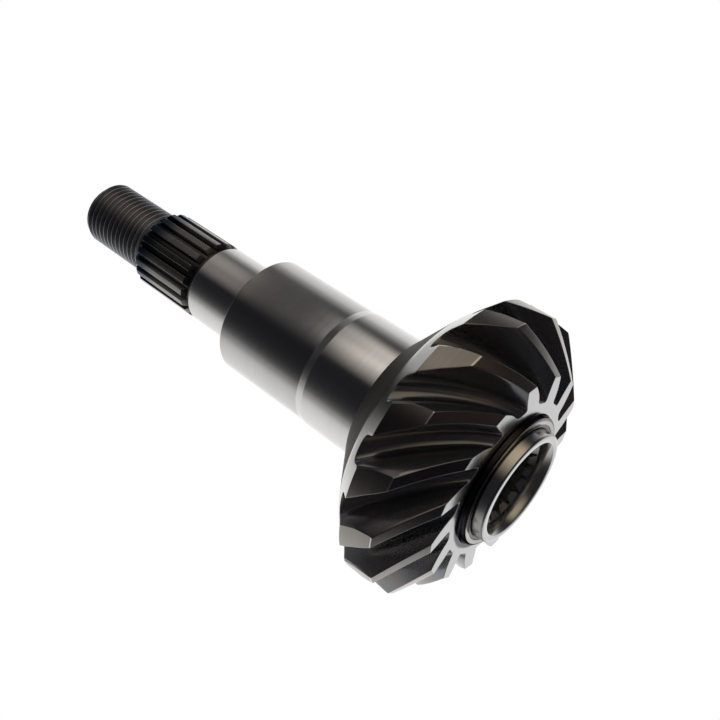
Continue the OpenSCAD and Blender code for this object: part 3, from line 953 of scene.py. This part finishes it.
# Edges of a window in the surroundings and their softness, in degrees
WINDOW = ("West", "East", "West soft", "East soft", "Low", "High", "Low soft", "High soft")
# Light that even the darkest surroundings give
DARKEST = (0.008, 0.0075, 0.0105)


def soft_window_group():
    """A soft-edged window in the surroundings, between two azimuths and two elevations."""
    sides = {
        "West": ("Azimuth", 1), "East": ("Azimuth", -1), "Low": ("Elevation", 1),
        "High": ("Elevation", -1),
    }
    tree, given, end = group("soft_window", ("Azimuth", "Elevation", *WINDOW), ("Light",))
    light = 1.0
    for side, (bearing, sign) in sides.items():
        reach = calc(tree, "MULTIPLY", given[side + " soft"], sign)
        low, high = calc(tree, "SUBTRACT", given[side], reach), calc(tree, "ADD", given[side], reach)
        light = calc(tree, "MULTIPLY", light, ramp(tree, given[bearing], low, high))
    feed(tree, end, {"Light": light})
    return tree


def levels(tree, value, full, stops):
    """Grey that runs straight from stop to stop (value, level), for values from 0 to full."""
    node = add(tree, "ValToRGB", {0: calc(tree, "DIVIDE", value, full)})
    for _ in stops[2:]:
        node.color_ramp.elements.new(0.5)
    for element, (at, level) in zip(node.color_ramp.elements, stops):
        element.position = at / full
        element.color = grey(level)
    return node.outputs[0]


def make_world():
    """White for the camera, and for reflections a white sweep behind the shaft and a dark front."""
    brightness = 1.1
    world = bpy.data.worlds.new("studio")
    bpy.context.scene.world = world
    # Glossy rays alone look up what the world shows to them, so the dark front stays dark
    world.cycles.sampling_method = "NONE"
    world.use_nodes = True
    tree = world.node_tree
    tree.nodes.clear()
    ray, axes = shaded(tree, "Generated")
    azimuth = calc(tree, "DEGREES", calc(tree, "ARCTAN2", axes[1], axes[0]))
    elevation = calc(tree, "DEGREES", calc(tree, "ARCSINE", axes[2]))
    sweep_azimuth, sweep_elevation = math.radians(104.5), math.radians(26)
    sweep = Vector((math.cos(sweep_azimuth), math.sin(sweep_azimuth), math.tan(sweep_elevation)))
    inputs = {0: ray, 1: sweep.normalized()}
    cosine = add(tree, "VectorMath", inputs, operation="DOT_PRODUCT").outputs["Value"]
    away = calc(tree, "DEGREES", calc(tree, "ARCCOSINE", cosine))
    light = levels(tree, away, 180, [
        (37, 1.0), (47, 0.97), (56, 0.9), (62, 0.84), (66, 0.76), (70, 0.65), (74, 0.47), (77, 0.38),
        (80, 0.31), (84, 0.17), (88, 0.1), (92, 0.06), (97, 0.034), (102, 0.02), (108, 0.014),
        (115, 0.01),
    ])
    height = levels(tree, calc(tree, "ADD", elevation, 90), 180, [
        (30, 0.2), (40, 0.3), (49, 0.45), (61, 0.6), (71, 0.7), (81, 0.85), (90, 1.0),
        (127, 1.0), (134, 0.9), (140, 0.6), (150, 0.4), (170, 0.2),
    ])
    light = blend(tree, 1.0, light, height, "MULTIPLY")
    light = blend(tree, 1.0, light, rgba(DARKEST), "ADD")
    window = soft_window_group()
    # Coloured panels in the dark front: the values of WINDOW, and the light that each adds
    panels = [
        (-72, -19, 26, 16, -35, 20, 8, 5, (0.54, 0.455, 0.325)),
        (-25, 12, 12, 8, -62, -52, 4, 4, (0.05, 0.035, 0.025)),
        (-80, 50, 30, 20, -120, -40, 20, 12, (0.024, 0.017, 0.013)),
        (-105, -50, 20, 20, 43.5, 50, 1.5, 5, (0.035, 0.032, 0.030)),
        (-62, -14, 16, 14, 20, 30.3, 5, 0.5, (0.45, 0.42, 0.39)),
        (-80, -48, 12, 12, 20, 29.6, 5, 0.8, (0.34, 0.325, 0.29)),
        (-56, -16, 12, 12, 20, 28.1, 5, 0.5, (0.30, 0.28, 0.25)),
        (-79, -3, 20, 12, 26, 43, 4, 4, (0.064, 0.060, 0.060)),
        (-81, -8, 16, 12, 36.2, 40.5, 0.3, 1.5, (0.20, 0.18, 0.162)),
        (-46, -20, 12, 12, 36.2, 40.5, 0.3, 1.5, (0.11, 0.107, 0.102)),
    ]
    for *edges, level in panels:
        inputs = {"Azimuth": azimuth, "Elevation": elevation, **dict(zip(WINDOW, edges))}
        mask = add(tree, "Group", inputs, node_tree=window).outputs["Light"]
        light = blend(tree, mask, light, blend(tree, 1.0, light, rgba(level), "ADD"))
    path = add(tree, "LightPath").outputs
    plain = add(tree, "Background", {"Color": grey(1.0), "Strength": 1.0}).outputs[0]
    shaped = add(tree, "Background", {"Color": light, "Strength": brightness}).outputs[0]
    seen = calc(tree, "ADD", path["Is Glossy Ray"], path["Is Transmission Ray"], clamp=True)
    mixed = add(tree, "MixShader", {0: seen, 1: plain, 2: shaped}).outputs[0]
    add(tree, "OutputWorld", {0: mixed})


def make_floor():
    """A pale floor under the boss, seen only from above, which keeps the shadow."""
    half_width, paleness, glow_strength = 3, 0.8, 0.25
    bm = bmesh.new()
    bmesh.ops.create_grid(bm, x_segments=2, y_segments=2, size=half_width)
    data = bpy.data.meshes.new("floor")
    bm.to_mesh(data)
    bm.free()
    floor = put("floor", data)
    material = bpy.data.materials.new("pale_floor")
    material.use_nodes = True
    tree = material.node_tree
    tree.nodes.clear()
    diffuse = add(tree, "BsdfDiffuse", {"Color": grey(paleness)}).outputs[0]
    glow = add(tree, "Emission", {"Strength": glow_strength}).outputs[0]
    pale = add(tree, "AddShader", {0: diffuse, 1: glow}).outputs[0]
    clear = add(tree, "BsdfTransparent").outputs[0]
    camera = add(tree, "LightPath").outputs["Is Camera Ray"]
    under = add(tree, "NewGeometry").outputs["Backfacing"]
    shown = calc(tree, "SUBTRACT", camera, under, clamp=True)
    mixed = add(tree, "MixShader", {0: shown, 1: clear, 2: pale}).outputs[0]
    add(tree, "OutputMaterial", {0: mixed})
    data.materials.append(material)


def make_lamp():
    """A soft square lamp over the tip and behind the shaft, turned to the shaft."""
    spot, target = Vector((0.1, 0.6, 0.7)), Vector((0, 0, 0.06))
    data = bpy.data.lights.new("soft_box", "AREA")
    data.shape = "SQUARE"
    data.size = 0.5
    data.energy = 1.0
    lamp = put("soft_box", data)
    lamp.location = spot
    lamp.rotation_euler = (target - spot).to_track_quat("-Z", "Y").to_euler()
    lamp.visible_camera = False
    lamp.visible_glossy = False


def make_camera():
    """The photo's camera, low in front of the boss and rolled to its side."""
    place = Matrix.Translation((0, -0.18896, -0.05273))
    ahead = Vector((0.01828423, 0.88330441, 0.46844318))
    up = Vector((0.82788218, -0.27607413, 0.48825625))
    data = bpy.data.cameras.new("camera")
    data.lens = 47.04
    data.sensor_width = 36
    data.clip_start = 0.01
    data.clip_end = 10
    camera = put("camera", data)
    camera.matrix_world = place @ Matrix((ahead.cross(up), up, -ahead)).transposed().to_4x4()
    bpy.context.scene.camera = camera


# Operators and panel


class GEAR_SHAFT_OT_skin(Operator):
    """Build the shaft's skin with its finishes, in place of the plain solid"""

    bl_idname = "gear_shaft.skin"
    bl_label = "Shaft skin"

    def execute(self, context):
        bm = make_skin()
        data = bpy.data.meshes.new("shaft_skin")
        bm.to_mesh(data)
        bm.free()
        for material in make_finishes():
            data.materials.append(material)
        skin = put("shaft_skin", data)
        modifier = skin.modifiers.new("flat_faces", "WEIGHTED_NORMAL")
        modifier.keep_sharp = True
        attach(skin, "root")
        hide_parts(NODE)
        return {"FINISHED"}


class GEAR_SHAFT_OT_stage(Operator):
    """Set up the pale floor, the soft light and the photo's camera"""

    bl_idname = "gear_shaft.stage"
    bl_label = "Studio"

    def execute(self, context):
        context.scene.view_settings.view_transform = "Standard"
        make_world()
        make_floor()
        make_lamp()
        make_camera()
        return {"FINISHED"}


class GEAR_SHAFT_PT_panel(Panel):
    """Lists the shaft's operators and values"""

    bl_label = "Gear Shaft"
    bl_idname = "GEAR_SHAFT_PT_panel"
    bl_space_type = "VIEW_3D"
    bl_region_type = "UI"
    bl_category = "Gear Shaft"

    def draw(self, context):
        for operator in (GEAR_SHAFT_OT_skin, GEAR_SHAFT_OT_stage):
            self.layout.operator(operator.bl_idname)
        for name in SETTINGS:
            box = self.layout.box()
            values = getattr(context.scene, name)
            for prop in fields(values):
                box.prop(values, prop.identifier)


SETTINGS = {"gear_sizes": GearSizes, "shaft_sizes": ShaftSizes, "finish_colours": FinishColours}
CLASSES = (*SETTINGS.values(), GEAR_SHAFT_OT_skin, GEAR_SHAFT_OT_stage, GEAR_SHAFT_PT_panel)


def register():
    for cls in CLASSES:
        bpy.utils.register_class(cls)
    for name, cls in SETTINGS.items():
        setattr(bpy.types.Scene, name, PointerProperty(type=cls))


def unregister():
    for name in SETTINGS:
        delattr(bpy.types.Scene, name)
    for cls in reversed(CLASSES):
        bpy.utils.unregister_class(cls)


def main():
    register()
    bpy.ops.gear_shaft.skin()
    bpy.ops.gear_shaft.stage()


if __name__ == "__main__":
    main()
